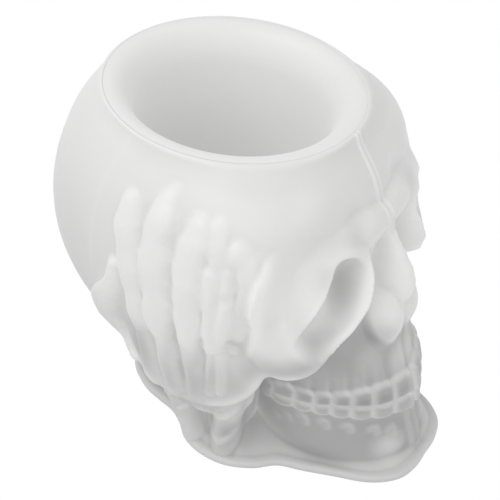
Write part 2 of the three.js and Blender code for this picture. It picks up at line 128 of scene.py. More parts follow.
# The eye socket: a slope from its mouth to the lip of the deep hollow, and the hollow itself
SOCKET_CENTRE = (36.5, 65)
SOCKET_MOUTH = [
    (55.3, 70), (55.2, 66), (54.3, 62.4), (52.5, 59.2), (50.3, 55.9), (46.2, 52.5), (41.5, 50.8),
    (36.5, 51), (31.3, 52.8), (27.8, 55.2), (24.8, 58.4), (22.6, 62.8), (21, 68), (20.5, 72),
    (24, 75.2), (27.5, 76.5), (32, 77.3), (37.5, 77.4), (42, 77.8), (48, 77.2), (52, 75.7),
    (54.5, 73.3),
]
SOCKET_HOLLOW = [
    (50.6, 57.4), (47.5, 60.6), (44.1, 64.3), (40.8, 68.3), (38, 72.6), (36.2, 75.8), (33, 76.8),
    (28, 75.6), (23.6, 74), (21.9, 71.5), (22.3, 67.5), (23.8, 62.8), (26.7, 57.8), (31, 54.4),
    (36.5, 52.3), (42, 52.4), (47.5, 54.6),
]
SOCKET_SLOPE_DEPTH = 3.0
SOCKET_SLOPE_START = -0.15
SOCKET_DEPTH = 7.5
SOCKET_LEAST_SLOPE = 0.8

# The hollow's walls are steep, and less so on the side of the nose, which has these directions
SOCKET_POWER, SOCKET_NOSE_POWER = 0.72, 0.1
SOCKET_NOSE_SIDE = (85, 130)

# The ridge of the nose: degrees, height, half width and how far it stands from its root
NOSE_ROOT = 30.0
NOSE_RIDGE = [
    (0, 78, 3.2, 6), (0, 72, 3.8, 10), (0, 67, 4.4, 13.6), (0, 63, 4.8, 16.2), (0, 59.5, 5.2, 17.4),
    (0, 56, 5.6, 17), (0, 52, 5.6, 15.5),
]
NOSE_BLEND = 2.5

# The cup core and its seat: radii, thicknesses and roundings
CORE_OUTER_RADIUS = 33.2
CORE_WALL = 2.2
CORE_FLOOR = 2.5
FLANGE_RADIUS = 35.88
FLANGE_THICKNESS = 3.7
FLANGE_ROUNDING = 0.04
CUP_CORNER = 4.0
SEAT_RADIUS, SEAT_DEPTH = 35.9, 4.0
THROAT_RADIUS, LEDGE = 33.8, 3.5
CROWN_ROUNDING_HEIGHT, CROWN_ROUNDING = 1, 0.6

# Steps round the core and along each part of its profile
CORE_SIDES = 192
CORNER_POINTS, EDGE_POINTS, RIM_POINTS = 9, 4, 24
OUTER_POINTS, INNER_POINTS = 24, 40
WELD_DISTANCE = 0.00005

# The share of the colour given back as a painted glow: emission that stands in for light carried
# inside the silicone
CORE_PAINTED_GLOW = 0.34
SKIN_PAINTED_GLOW = 0.26

# Tones run from 0, where the dark hollow shows through, to 1, where the silicone is thick and milky.
# Besides the milkiness they carry painted shade and painted highlights
# Painted shade: darker towards the bottom, as the light falls from above, and darker still on the
# back lower down
LOW_TONE, TONE_RISE, TONE_HEIGHTS = 0.44, 0.48, (8, 62)
BACK_PAINTED_SHADE, BACK_DIRECTIONS, BACK_HEIGHTS = 0.24, (95, 140), (98, 55)
# Painted shade on the jaw below the cheek, where the unlit hollow shows through, except where relief
# stands over it
JAW_SHADED_TONE, JAW_DIRECTIONS, JAW_HEIGHTS = 0.28, (62, 72), (60, 46)
JAW_COVER = (2.4, 0.6)
# Painted shade on the lip: darkest on its underside, lighter on its top
LIP_TONES = (0.45, 0.62, 0.72, 0.72)
# Painted shade inside: the throat and the inner side darker than the seat, and darker lower down
SEAT_TONE, THROAT_TONE = 0.95, 0.7
INNER_TONE, INNER_TONE_RISE = 0.42, 0.3
MOST_TONE = 1.25
# Painted shade in the cup, darker deeper down
CUP_PAINTED_SHADE, CUP_SHADE_DEPTH = 0.22, 0.7

# Steep sides and ridges look through more silicone: they get painted highlights, crevices get painted
# shade, and the socket is darker with painted shade
STEEP_PAINTED_HIGHLIGHT, STEEP_POWER, LEAST_STEEP = 0.8, 0.6, 0.002
RIDGE_HIGHLIGHT_AND_SHADE, RIDGE_LIMIT, RIDGE_DIRECTIONS = 0.1, 1.5, (124, 114)
PLAIN_PASSES = 60
SOCKET_PAINTED_SHADE, SOCKET_SHADE_DEPTHS, SOCKET_SHADE_SIDE = 0.2, (0.4, 2.2), (70, 115)
TOOTH_EDGE_HIGHLIGHT, TOOTH_EDGE_WIDTH = 0.32, 0.7

# Clouds and grain: scale, detail and roughness, and how strongly they show
CLOUD, GRAIN = (38.0, 4.0, 0.55), (420.0, 3.0, 0.6)
CLOUD_TONE, GRAIN_TONE, TONE_SPAN = 0.06, 0.025, 0.8
CLOUD_BUMP, GRAIN_BUMP, GRAIN_ROUGHNESS = 0.6, 0.25, 0.16

# Low swellings and hollows: degrees, height, half width, half height and rise
SWELLINGS = [
    (22, 84, 9, 6.5, -1.1), (44, 91, 12, 7, 0.8), (9, 9, 4.5, 4, 0.9), (30, 40, 9, 6, -0.8),
    (91.5, 51, 2.4, 5, -2.2), (80.8, 52, 2.2, 4.5, -2.0), (71, 52, 3, 4.5, -1.8),
    (72.4, 70.7, 2.2, 3, -1.2),
]

# Hooked marks in relief below the lower teeth: degrees, height and size of each, and its line
JAW_HOOKS = [
    (45.6, 12.8, 0.4), (42, 14.9, 0.45), (37.5, 17, 0.8), (31.2, 17.5, 0.8), (24.1, 16.8, 0.8),
    (15.8, 15, 0.8), (9.7, 13.3, 0.8),
]
HOOK_LINE = [(1.3, -0.2), (0.5, 0.7), (-0.6, 0.6), (-1.3, -0.6), (-1.5, -2.4)]
HOOK_HALF_WIDTH, HOOK_RISE = 0.6, 1.0

# Patches of painted shade and painted light that the forms don't give by themselves: degrees, height,
# half width, half height, change
SHADE_AND_LIGHT_MARKS = [
    (52, 71, 9, 13, 0.10), (46, 68, 5.5, 10, 0.16), (31, 67, 6.5, 11, -0.30), (60, 46, 9, 9, -0.32),
    (42, 52, 12, 6, -0.34), (85, 38, 16, 14, -0.30), (64, 62, 3, 14, 0.10), (26, 79, 7, 6, -0.14),
    (12, 8, 6, 6, 0.34), (52, 7, 10, 7, 0.20), (5, 50, 6, 8, 0.06), (105, 30, 14, 14, -0.14),
    (16, 38.5, 7, 7, 0.18), (4, 35, 6, 8, 0.34), (65, 79, 5, 7, 0.12), (13, 47, 6, 6, -0.14),
    (70, 13, 4.5, 10, -0.22), (94, 15, 4, 8, -0.16), (48, 46, 10, 5, -0.24), (86, 25, 14, 6, -0.22),
    (91.5, 48, 2.6, 9, -0.22), (80.8, 49, 2.4, 9, -0.22), (71, 52, 3.5, 6, -0.20),
    (104, 42, 8, 12, -0.36), (24, 26.5, 24, 5, -0.22), (33, 4, 10, 5, -0.14), (66, 36, 7, 12, -0.22),
    (47, 49, 12, 6, -0.26), (76, 42, 8, 10, -0.12), (12, 46, 5, 5, -0.12),
]

# Undersides kept in painted shade, where the painted highlight of steep sides is held back: degrees,
# height, half width, half height, share
SHADED_UNDERSIDES = [(46, 46, 14, 8, 0.75), (86, 25, 20, 8, 0.6)]

# Bones in relief: degrees from the face, height, half width and how far they stand out
HAND_BONES = {
    "index": [(112, 86, 2.8, 2.0), (110.5, 80, 3.8, 3.0), (108.5, 74, 3.3, 2.6), (107, 68, 3.8, 3.0),
              (105, 61, 2.9, 2.5), (104.5, 52, 3.4, 2.8), (103, 41, 3.4, 2.0), (99, 30, 3.4, 1.0)],
    "middle": [(99.5, 90.5, 3.2, 2.0), (98.7, 87, 4.2, 2.9), (99.5, 80, 3.8, 2.8), (99, 73, 4.4, 3.2),
               (97.5, 65, 3.6, 2.6), (97, 54, 4.0, 3.0), (94, 41, 3.0, 2.2), (90, 30, 3.0, 1.0)],
    "ring": [(86, 87.5, 3.2, 1.8), (85.8, 83, 4.2, 2.7), (86.5, 78, 4.2, 2.8), (86.5, 72, 4.4, 3.2),
             (85.5, 63, 3.8, 2.7), (85, 52, 4.0, 3.0), (83, 41, 3.2, 2.2), (81, 31, 2.8, 1.0)],
    "little_tip": [(79, 88, 2.8, 1.2), (78.5, 84, 3.2, 1.8), (77, 77, 2.6, 1.6)],
    "little": [(79, 76, 2.6, 2.2), (78.5, 70, 2.4, 2.6), (78, 61, 2.3, 2.4), (77.5, 51, 2.6, 2.8)],
    "little_side": [(74.5, 78, 1.6, 1.8), (73.5, 70, 1.9, 2.2), (74.5, 61, 2.2, 2.6),
                    (75, 51, 1.8, 2.4)],
    "palm_rear": [(77.5, 49, 1.7, 2.2), (76.5, 33, 1.3, 1.4)],
    "palm_front": [(74.5, 49, 1.6, 2.2), (72.8, 34, 1.3, 1.4)],
    "ear": [(76, 80, 2.4, 1.2), (72, 83.5, 3.0, 1.6), (68.5, 81, 3.0, 1.5), (67.5, 74, 2.6, 1.2),
            (68.5, 64, 2.4, 0.9), (70, 55, 2.2, 0.8)],
    "web": [(70, 50, 1.2, 1.2), (75, 52.5, 1.2, 1.6), (80, 50, 1.2, 1.2)],
    "thumb": [(113, 66, 1.9, 2.0), (114.5, 59, 2.1, 2.4), (119, 50, 3.8, 4.0), (120, 43, 3.6, 3.8),
              (116, 36, 2.8, 3.0), (110, 32, 2.8, 2.0)],
}
FINGER_POWER = 0.4

# The width of a bone wanders by this share, in waves: by height, by direction and how strong
BONE_WOBBLE = 0.07
WOBBLE_WAVES = ((0.33, 0.35, 1.0), (0.8, -0.5, 0.6))

FOREARM_ROOT = 29.0
FOREARM_BLEND = 1.5
FOREARM_BONES = {
    "thick": [(70, 27, 7.4, 12.5), (70.5, 21, 7.8, 12.8), (71.5, 14, 6.4, 10.8), (71, 4, 7.2, 10.5)],
    "thin": [(101, 26, 6.4, 12), (95, 18, 6.0, 10.5), (90, 10, 4.8, 9), (87, 4, 5.2, 8.5)],
}

# Folds across the wrist and round the end of the thick bone, which lie over the forearm
WRIST_FOLDS = {
    "upper": [(98, 21, 0.9, 0.8), (83, 23, 1.0, 1.0), (77, 22.5, 1.0, 1.0), (72, 24, 0.9, 0.9)],
    "lower": [(92, 15, 0.9, 0.8), (82, 18, 1.0, 1.0), (75, 19, 1.0, 1.0), (66, 24, 0.9, 0.9)],
    "end": [(79, 9.5, 0.9, 0.8), (73, 8.5, 1.0, 0.9), (66, 11.5, 1.0, 0.9), (62, 18, 0.9, 0.8)],
}

# The midline bead: a low band between two thin edges
BAND_HALF_WIDTH, BAND_RISE, BAND_POWER = 1.75, 0.3, 6
EDGE_HALF_WIDTH, EDGE_RISE = 0.75, 0.6
BAND_START = (2.5, 5)

# Sides of the teeth in degrees, and the heights of their three lines by degrees
TOOTH_EDGES = np.array([0, 9.5, 17.4, 24.2, 30, 35.3, 41.2, 48.7, 55])
GUM_LINE = ([0, 10, 17, 24, 30, 38, 44, 50, 56], [29.6, 30, 30.2, 29.7, 28.8, 27.2, 26, 22.8, 19])
BITE_LINE = ([0, 10, 17, 24, 30, 35, 41, 49, 56], [22.6, 23.8, 24.4, 25.1, 25, 23.9, 22.6, 19.8, 17])
LOWER_LINE = ([0, 10, 17, 24, 30, 35, 41, 49, 56], [17, 19.2, 20.2, 21, 21.3, 20.8, 19.6, 17.4, 15.5])
GUM_ARCH, GUM_DROP = 0.9, 0.3
UPPER_RISE, LOWER_RISE = 1.9, 1.7
TOOTH_SQUARENESS, TOOTH_POWER = 5, 0.45
ROOT_RISE, ROOT_WIDTH, ROOT_HEIGHT = 0.6, 0.55, 9
LAST_TOOTH = (49, 54)
LAST_OUTLINE = (47, 53)

# The skin's grid: columns by direction and rows by height, finest over the face
FACE_END, FACE_STEP = 60, 0.64
HAND_END, HAND_STEP = 125, 0.8
BACK_COLUMNS = 28
JAW_ROWS_END, JAW_ROW_STEP = 34, 0.44
SKULL_ROWS_END, SKULL_ROW_STEP = 96, 0.56
CROWN_ROWS = 11
INNER_ROWS = 56

# The inner side keeps the wall's distance from the lowest of these neighbours of each point
INNER_TURNS = (-2.4, -1.2, 0, 1.2, 2.4)
INNER_LIFTS = (-3, -1.5, 0, 1.5, 3)

# Where the grid's steps are evened out: before these directions, and more by the socket
EVEN_DIRECTIONS = (122, 112)
EVEN_SOCKET = (20, 16)

# The camera: its aim in the drawing, the direction back from there, its roll and its distance
CAMERA_TARGET = (-3.21, -12.25, 50)
CAMERA_BACK = (-0.7042, -0.3306, 0.6284)
CAMERA_ROLL = 6.82
CAMERA_DISTANCE = 0.42

# The studio, in metres: the floor's half size, the lamps' aim, and their places and sizes
FLOOR_SIZE = 3.0
LAMP_AIM = (0, 0, 0.05)
KEY_PLACE, KEY_SIZE = (-0.35, 0.25, 0.75), 0.6
FILL_PLACE, FILL_SIZE = (-0.55, -0.55, 0.45), 0.7


class SkinSizes(bpy.types.PropertyGroup):
    """Sizes of the silicone skin"""

    height: bpy.props.FloatProperty(
        name="Height", description="Height of the mould", default=0.1, unit="LENGTH")
    wall: bpy.props.FloatProperty(
        name="Wall", description="Thickness of the skin", default=0.0035, unit="LENGTH")
    lip_reach: bpy.props.FloatProperty(
        name="Lip reach", description="How far the lip stands out", default=0.003, unit="LENGTH")
    lip_thickness: bpy.props.FloatProperty(
        name="Lip thickness", description="Thickness of the lip", default=0.0025, unit="LENGTH")
    ring_radius: bpy.props.FloatProperty(
        name="Ring radius", description="Radius of the flat ring on the crown", default=0.037,
        unit="LENGTH")


class CoreSizes(bpy.types.PropertyGroup):
    """Sizes of the cup core"""

    mouth_radius: bpy.props.FloatProperty(
        name="Mouth radius", description="Radius of the cup below its rounded rim",
        default=0.0275, unit="LENGTH")
    depth: bpy.props.FloatProperty(
        name="Depth", description="Depth of the cup", default=0.062, unit="LENGTH")
    taper: bpy.props.FloatProperty(
        name="Taper", description="How much narrower the cup is at its floor", default=0.0015,
        unit="LENGTH")
    rounding: bpy.props.FloatProperty(
        name="Rim rounding", description="Width of the rounding of the cup's inner rim",
        default=0.0068, unit="LENGTH")
    rounding_depth: bpy.props.FloatProperty(
        name="Rim rounding depth", description="Depth of the rounding of the cup's inner rim",
        default=0.011, unit="LENGTH")


class SiliconeLook(bpy.types.PropertyGroup):
    """Colours and finish of the silicone"""

    # The thick colour is also where painted highlights run to; the thin colour is the darkest painted
    # shade, where the unlit hollow shows through
    thick: bpy.props.FloatVectorProperty(
        name="Thick silicone", description="Colour where the silicone is thickest and milkiest",
        subtype="COLOR", size=3, default=(0.93, 0.93, 0.925), min=0.0, max=1.0)
    thin: bpy.props.FloatVectorProperty(
        name="Thin silicone", description="Colour where the dark hollow shows through the wall",
        subtype="COLOR", size=3, default=(0.27, 0.27, 0.27), min=0.0, max=1.0)
    roughness: bpy.props.FloatProperty(
        name="Roughness", description="Roughness of the satin surface", default=0.42,
        subtype="FACTOR", min=0.0, max=1.0)


class StudioSettings(bpy.types.PropertyGroup):
    """Floor, lamps and camera"""

    floor: bpy.props.FloatVectorProperty(
        name="Floor", description="Colour of the pale floor", subtype="COLOR", size=3,
        default=(0.85, 0.85, 0.85), min=0.0, max=1.0)
    sky: bpy.props.FloatProperty(
        name="Sky", description="Strength of the light from all around", default=0.62)
    key: bpy.props.FloatProperty(
        name="Key lamp", description="Power of the large lamp above", default=2.6,
        subtype="POWER")
    fill: bpy.props.FloatProperty(
        name="Fill lamp", description="Power of the lamp by the camera", default=0.9,
        subtype="POWER")
    lens: bpy.props.FloatProperty(
        name="Lens", description="Focal length", default=105.17, subtype="DISTANCE_CAMERA")


def curve(points, place):
    """A smooth curve through points, held level beyond its ends."""
    at, value = np.asarray(points[0], float), np.asarray(points[1], float)
    slope = np.empty_like(value)
    slope[1:-1] = (value[2:] - value[:-2]) / (at[2:] - at[:-2])
    slope[0] = (value[1] - value[0]) / (at[1] - at[0])
    slope[-1] = (value[-1] - value[-2]) / (at[-1] - at[-2])
    place = np.clip(place, at[0], at[-1])
    i = np.clip(np.searchsorted(at, place, side="right") - 1, 0, len(at) - 2)
    span = at[i + 1] - at[i]
    u = (place - at[i]) / span
    rise = u * u * (3 - 2 * u)
    bend = slope[i] * u * (1 - u) ** 2 - slope[i + 1] * u * u * (1 - u)
    return value[i] * (1 - rise) + value[i + 1] * rise + span * bend


def smooth_step(low, high, value):
    """0 at low, 1 at high and smooth between them. Low may be the larger one."""
    t = np.clip((value - low) / (high - low), 0, 1)
    return t * t * (3 - 2 * t)


def soft_max(a, b, width):
    """The larger of two values, blended where they are closer than a width."""
    near = np.maximum(width - np.abs(a - b), 0) / width
    return np.maximum(a, b) + near * near * width / 4


def circle_reach(angle, radius):
    """Reach from the upright line to a circle round the centre of the crown."""
    front = np.cos(np.radians(angle))
    offset = RING_CENTRE_Y - AXIS_Y
    return np.sqrt(offset ** 2 * (front ** 2 - 1) + radius ** 2) - offset * front


def bottom_edge_reach(angle):
    """Reach to the edge of the bottom lip."""
    x, y = np.array(BOTTOM_EDGE, float).T
    return curve((np.degrees(np.arctan2(x, AXIS_Y - y)), np.hypot(x, y - AXIS_Y)), angle)


def mass_crossing(angle, z, mass):
    """Where a level ray from the upright line meets a rounded mass."""
    (cx, cy, cz), radii, turn, lean, _ = mass
    side, front = np.sin(np.radians(angle)), np.cos(np.radians(angle))
    st, ct = math.sin(math.radians(turn)), math.cos(math.radians(turn))
    sl, cl = math.sin(math.radians(lean)), math.cos(math.radians(lean))

    def local(x, y, w):
        across, deep = ct * x + st * y, ct * y - st * x
        return across / radii[0], (cl * deep - sl * w) / radii[1], (sl * deep + cl * w) / radii[2]

    start = local(-cx + 0 * side, AXIS_Y - cy + 0 * side, z - cz)
    along = local(side, -front, 0 * side)
    a = sum(v * v for v in along)
    middle = -sum(p * q for p, q in zip(start, along)) / a
    square = middle ** 2 - (sum(v * v for v in start) - 1) / a
    return middle, np.sqrt(np.abs(square)), square > 0


def add_mass(reach, angle, z, mass):
    """Blends a rounded mass into the reach."""
    middle, half, hit = mass_crossing(angle, z, mass)
    return soft_max(reach, np.where(hit, middle + half, middle - 2 * half), mass[-1])


def polar(points, centre):
    """An outline as its distance by direction, in millimetres round its centre."""
    a, z = np.array(points, float).T
    x, y = (a - centre[0]) * MM_PER_DEGREE, z - centre[1]
    order = np.argsort(np.arctan2(y, x))
    turn, away = np.degrees(np.arctan2(y, x))[order], np.hypot(x, y)[order]
    return (np.concatenate([turn[-3:] - 360, turn, turn[:3] + 360]),
            np.concatenate([away[-3:], away, away[:3]]))


def around(angle, z, centre):
    """Direction and distance from a centre on the skin."""
    x, y = (angle - centre[0]) * MM_PER_DEGREE, z - centre[1]
    return np.degrees(np.arctan2(y, x)), np.hypot(x, y)


def add_pouch(reach, angle, z):
    """Lays the pouch round the eye on the skin."""
    middle, half, hit = mass_crossing(angle, z, EYE_POUCH)
    turn, away = around(angle, z, POUCH_CENTRE)
    inside = (curve(polar(POUCH_OUTLINE, POUCH_CENTRE), turn) - away) / curve(POUCH_EDGE_WIDTH, turn)
    rise = np.sqrt(1 - (1 - np.clip(inside, 0, 1)) ** 2)
    dome = np.where(hit, middle + half, 0) - reach
    return reach + soft_max(dome, curve(POUCH_LEAST_RISE, turn), POUCH_BLEND) * rise


def cut_socket(reach, angle, z):
    """Sinks the slope and the deep hollow of the eye socket."""
    turn, away = around(angle, z, SOCKET_CENTRE)
    mouth = curve(polar(SOCKET_MOUTH, SOCKET_CENTRE), turn)
    hollow = curve(polar(SOCKET_HOLLOW, SOCKET_CENTRE), turn)
    hollow = np.minimum(hollow, mouth - SOCKET_LEAST_SLOPE)
    slope = np.clip((mouth - away) / (mouth - hollow), 0, 1)
    sloped = SOCKET_SLOPE_DEPTH * smooth_step(SOCKET_SLOPE_START, 1, slope) * (slope > 0)
    power = SOCKET_POWER + SOCKET_NOSE_POWER * smooth_step(*SOCKET_NOSE_SIDE, np.abs(turn))
    deep = np.clip(1 - (away / hollow) ** 2, 0, 1) ** power
    return reach - sloped - SOCKET_DEPTH * deep


def spots(marks, angle, z):
    """The sum of soft round spots on the skin."""
    total = np.zeros_like(angle)
    for a, height, half_width, half_height, rise in marks:
        away = ((angle - a) * MM_PER_DEGREE / half_width) ** 2 + ((z - height) / half_height) ** 2
        total = total + rise * np.clip(1 - away, 0, 1) ** 2
    return total


def bone_relief(bone, angle, z, sharpness=0.6, wobble=0.0):
    """A rounded ridge along the bone's points, whose width may wander a little."""
    relief = np.zeros_like(angle)
    waves = sum(strength * np.sin(z * by_height + angle * by_direction)
                for by_height, by_direction, strength in WOBBLE_WAVES)
    wander = 1 + wobble * waves
    for (a0, z0, w0, h0), (a1, z1, w1, h1) in zip(bone[:-1], bone[1:]):
        run_x, run_z = (a1 - a0) * MM_PER_DEGREE, z1 - z0
        x = (angle - a0) * MM_PER_DEGREE
        t = np.clip((x * run_x + (z - z0) * run_z) / (run_x ** 2 + run_z ** 2), 0, 1)
        away = np.hypot(x - t * run_x, z - z0 - t * run_z)
        round_side = np.clip(1 - (away / (w0 + (w1 - w0) * t) / wander) ** 2, 0, 1) ** sharpness
        relief = np.maximum(relief, (h0 + (h1 - h0) * t) * round_side)
    return relief


def tooth_sides(angle):
    """The two sides, in degrees, of the tooth that each direction falls on."""
    tooth = np.searchsorted(TOOTH_EDGES, angle, side="right") - 1
    tooth = np.clip(tooth, 0, len(TOOTH_EDGES) - 2)
    return TOOTH_EDGES[tooth], TOOTH_EDGES[tooth + 1]


def tooth_lines(angle, arch):
    """Heights of the gum line, the bite line and the lower gum line."""
    gum, bite, low = (curve(line, angle) for line in (GUM_LINE, BITE_LINE, LOWER_LINE))
    return gum + GUM_ARCH * arch - GUM_DROP, bite, low - GUM_ARCH * arch + GUM_DROP


def tooth_relief(angle, z):
    """Two rows of teeth with curved gum lines, and the roots of the upper row."""
    start, end = tooth_sides(angle)
    across = np.clip(2 * (angle - start) / (end - start) - 1, -1, 1)
    gum, bite, low = tooth_lines(angle, 1 - across ** 2)
    sideways = np.clip(1 - np.abs(across) ** TOOTH_SQUARENESS, 0, 1)
    relief = np.zeros_like(angle)
    for top, bottom, rise in ((gum, bite, UPPER_RISE), (bite, low, LOWER_RISE)):
        up = (z - (top + bottom) / 2) / ((top - bottom) / 2)
        shape = sideways * np.clip(1 - np.abs(up) ** TOOTH_SQUARENESS, 0, 1)
        relief = np.maximum(relief, rise * shape ** TOOTH_POWER)
    root = ROOT_RISE * np.clip(1 - (across / ROOT_WIDTH) ** 2, 0, 1)
    root = root * smooth_step(gum + ROOT_HEIGHT, gum + 1, z)
    relief = np.maximum(relief, root * (z > gum - 1))
    return relief * (1 - smooth_step(*LAST_TOOTH, angle))


def tooth_outline(angle, z):
    """1 on the outline of a tooth, falling to 0 inside it and outside the rows."""
    start, end = tooth_sides(angle)
    middle = (end + start) / 2
    to_side = (end - middle - np.abs(angle - middle)) * MM_PER_DEGREE
    arch = 1 - (to_side / (end - middle) / MM_PER_DEGREE - 1) ** 2
    gum, bite, low = tooth_lines(angle, arch)
    to_line = np.minimum(np.minimum(np.abs(z - gum), np.abs(z - bite)), np.abs(z - low))
    within = (z < gum) & (z > low)
    nearest = np.where(within, np.minimum(to_side, to_line), to_line)
    return np.exp(-(nearest / TOOTH_EDGE_WIDTH) ** 2) * (1 - smooth_step(*LAST_OUTLINE, angle))


def cranium_reach(angle, z, sizes):
    """Reach of the bare skull, which ends in the ring's circle."""
    side, front = np.abs(np.sin(np.radians(angle))), np.cos(np.radians(angle))
    ahead = AXIS_Y - curve((LEVELS, FOREHEAD), z)
    behind = curve((LEVELS, NAPE), z) - AXIS_Y
    face_power = FACE_POWER + FACE_SQUARER * smooth_step(*FACE_SQUARE_HEIGHTS, z)
    power = np.where(front > 0, face_power, NAPE_POWER)
    reach = np.where(front > 0, ahead, behind)
    width = curve((LEVELS, SIDE), z)
    free = ((side / width) ** power + (np.abs(front) / reach) ** power) ** (-1 / power)
    below_ring = (sizes.height / MM - z) / RING_BLEND_HEIGHT
    to_ring = np.clip(1 - below_ring, 0, 1) ** RING_BLEND_POWER
    return free * (1 - to_ring) + circle_reach(angle, sizes.ring_radius / MM) * to_ring


def jaw_reach(angle, z):
    """Reach of the jaw with its teeth, at each level two half ellipses."""
    side, front = np.sin(np.radians(angle)), np.cos(np.radians(angle))
    offset, ahead = AXIS_Y - JAW_Y, JAW_Y - curve(JAW_FRONT, z)
    width = curve(JAW_WIDTH, z)

    def leave(length):
        a = (side / width) ** 2 + (front / length) ** 2
        b = -offset * front / length ** 2
        c = (offset / length) ** 2 - 1
        return (np.sqrt(np.maximum(b * b - a * c, 0)) - b) / a

    first = leave(ahead)
    reach = np.where(AXIS_Y - front * first < JAW_Y, first, leave(JAW_REAR))
    return reach + tooth_relief(angle, z) - JAW_SINK * smooth_step(*JAW_TOP, z)


def add_palm(reach, angle, z):
    """Lays the pad of the palm over the ear."""
    sideways = np.abs((angle - PALM_CENTRE[0]) * PALM_MM_PER_DEGREE / PALM_SIZE[0])
    upwards = np.abs((z - PALM_CENTRE[1]) / PALM_SIZE[1])
    edge = (sideways ** PALM_POWER + upwards ** PALM_POWER) ** (1 / PALM_POWER)
    inside = 1 - smooth_step(*PALM_EDGE, edge)
    return reach * (1 - inside) + np.maximum(reach, PALM_REACH) * inside


def flare_reach(angle, z, sizes):
    """Reach of the flare that runs out into the bottom lip."""
    flare = 1 - smooth_step(sizes.lip_thickness / MM, FLARE_HEIGHT, z)
    foot = bottom_edge_reach(angle) - sizes.lip_reach / MM
    return foot * flare + FLARE_INSIDE * (1 - flare)


def head_reach(angle, z, sizes):
    """Reach of the head, before the bones of the hand lie on it."""
    angle = np.abs(angle)
    reach = soft_max(cranium_reach(angle, z, sizes), jaw_reach(angle, z), JAW_BLEND)
    reach = add_mass(reach, angle, z, BROW) + spots(SWELLINGS, angle, z)
    reach = cut_socket(add_pouch(reach, angle, z), angle, z)
    ridge = bone_relief(NOSE_RIDGE, angle, z)
    reach = np.where(ridge > 0, soft_max(reach, NOSE_ROOT + ridge, NOSE_BLEND), reach)
    reach = add_mass(reach, angle, z, NOSE_LOBE)
    reach = add_palm(reach, angle, z)
    reach = add_mass(reach, angle, z, WRIST)
    reach = add_mass(reach, angle, z, FOREARM)
    return soft_max(reach, flare_reach(angle, z, sizes), FLARE_BLEND)


def outer_reach(angle, z, sizes):
    """Reach of the outer surface with the bones and the bead on it."""
    angle = np.abs(angle)
    reach = head_reach(angle, z, sizes)
    relief = np.zeros_like(angle)
    for bone in HAND_BONES.values():
        relief = np.maximum(relief, bone_relief(bone, angle, z, FINGER_POWER, BONE_WOBBLE))
    for place, height, size in JAW_HOOKS:
        line = [(place + a * size, height + up * size, HOOK_HALF_WIDTH, HOOK_RISE * size)
                for a, up in HOOK_LINE]
        relief = np.maximum(relief, bone_relief(line, angle, z))
    reach = reach + relief
    for bone in FOREARM_BONES.values():
        rise = bone_relief(bone, angle, z)
        reach = np.where(rise > 0, soft_max(reach, FOREARM_ROOT + rise, FOREARM_BLEND), reach)
    folds = [bone_relief(line, angle, z) for line in WRIST_FOLDS.values()]
    reach = reach + np.max(folds, axis=0)
    across = angle * MM_PER_DEGREE
    to_end = across / (BAND_HALF_WIDTH + EDGE_HALF_WIDTH)
    band = BAND_RISE * np.clip(1 - to_end ** BAND_POWER, 0, 1)
    edge = EDGE_RISE * np.clip(1 - ((across - BAND_HALF_WIDTH) / EDGE_HALF_WIDTH) ** 2, 0, 1)
    return reach + (band + edge) * smooth_step(*BAND_START, z)


def place_points(angle, reach, z):
    """Points in metres, in the frame, from direction, reach and height in millimetres."""
    turn = np.radians(angle)
    x, y = -np.sin(turn) * reach, AXIS_Y + TO_MIDDLE - np.cos(turn) * reach
    return np.stack([x, y, z + 0 * x], axis=-1) * MM


def column_angles():
    """Directions of the columns, fine over the face and the hands."""
    half = np.concatenate([
        np.arange(0, FACE_END, FACE_STEP), np.arange(FACE_END, HAND_END, HAND_STEP),
        np.linspace(HAND_END, 180, BACK_COLUMNS, endpoint=False)])
    return np.concatenate([half, [180.0], -half[:0:-1]])


def row_heights(sizes):
    """Heights of the rows, from the lip's top to the ring."""
    return np.concatenate([
        np.arange(sizes.lip_thickness / MM, JAW_ROWS_END, JAW_ROW_STEP),
        np.arange(JAW_ROWS_END, SKULL_ROWS_END, SKULL_ROW_STEP),
        np.linspace(SKULL_ROWS_END, sizes.height / MM, CROWN_ROWS)])


def soften(values, times):
    """Averages a grid with its neighbours, round the columns and along the rows."""
    for _ in range(times):
        across = np.roll(values, 1, axis=1) + np.roll(values, -1, axis=1)
        padded = np.pad(values, ((1, 1), (0, 0)), mode="edge")
        values = (2 * values + across + padded[:-2] + padded[2:]) / 6
    return values


def even_out(reach, angle, z):
    """Takes the grid's small steps out of the steep forms, most of all round the socket."""
    near_socket = smooth_step(*EVEN_SOCKET, around(np.abs(angle), z, SOCKET_CENTRE)[1])
    even = smooth_step(*EVEN_DIRECTIONS, np.abs(angle))
    once = reach + (soften(reach, 1) - reach) * even
    return once * (1 - near_socket) + soften(reach, 2) * near_socket


def surface_normals(points):
    """Unit normals of a grid of points whose rows go round and whose columns go up."""
    across = np.roll(points, -1, axis=1) - np.roll(points, 1, axis=1)
    up = np.gradient(points, axis=0)
    normal = np.cross(across, up)
    return normal / (np.linalg.norm(normal, axis=-1, keepdims=True) + 1e-12)


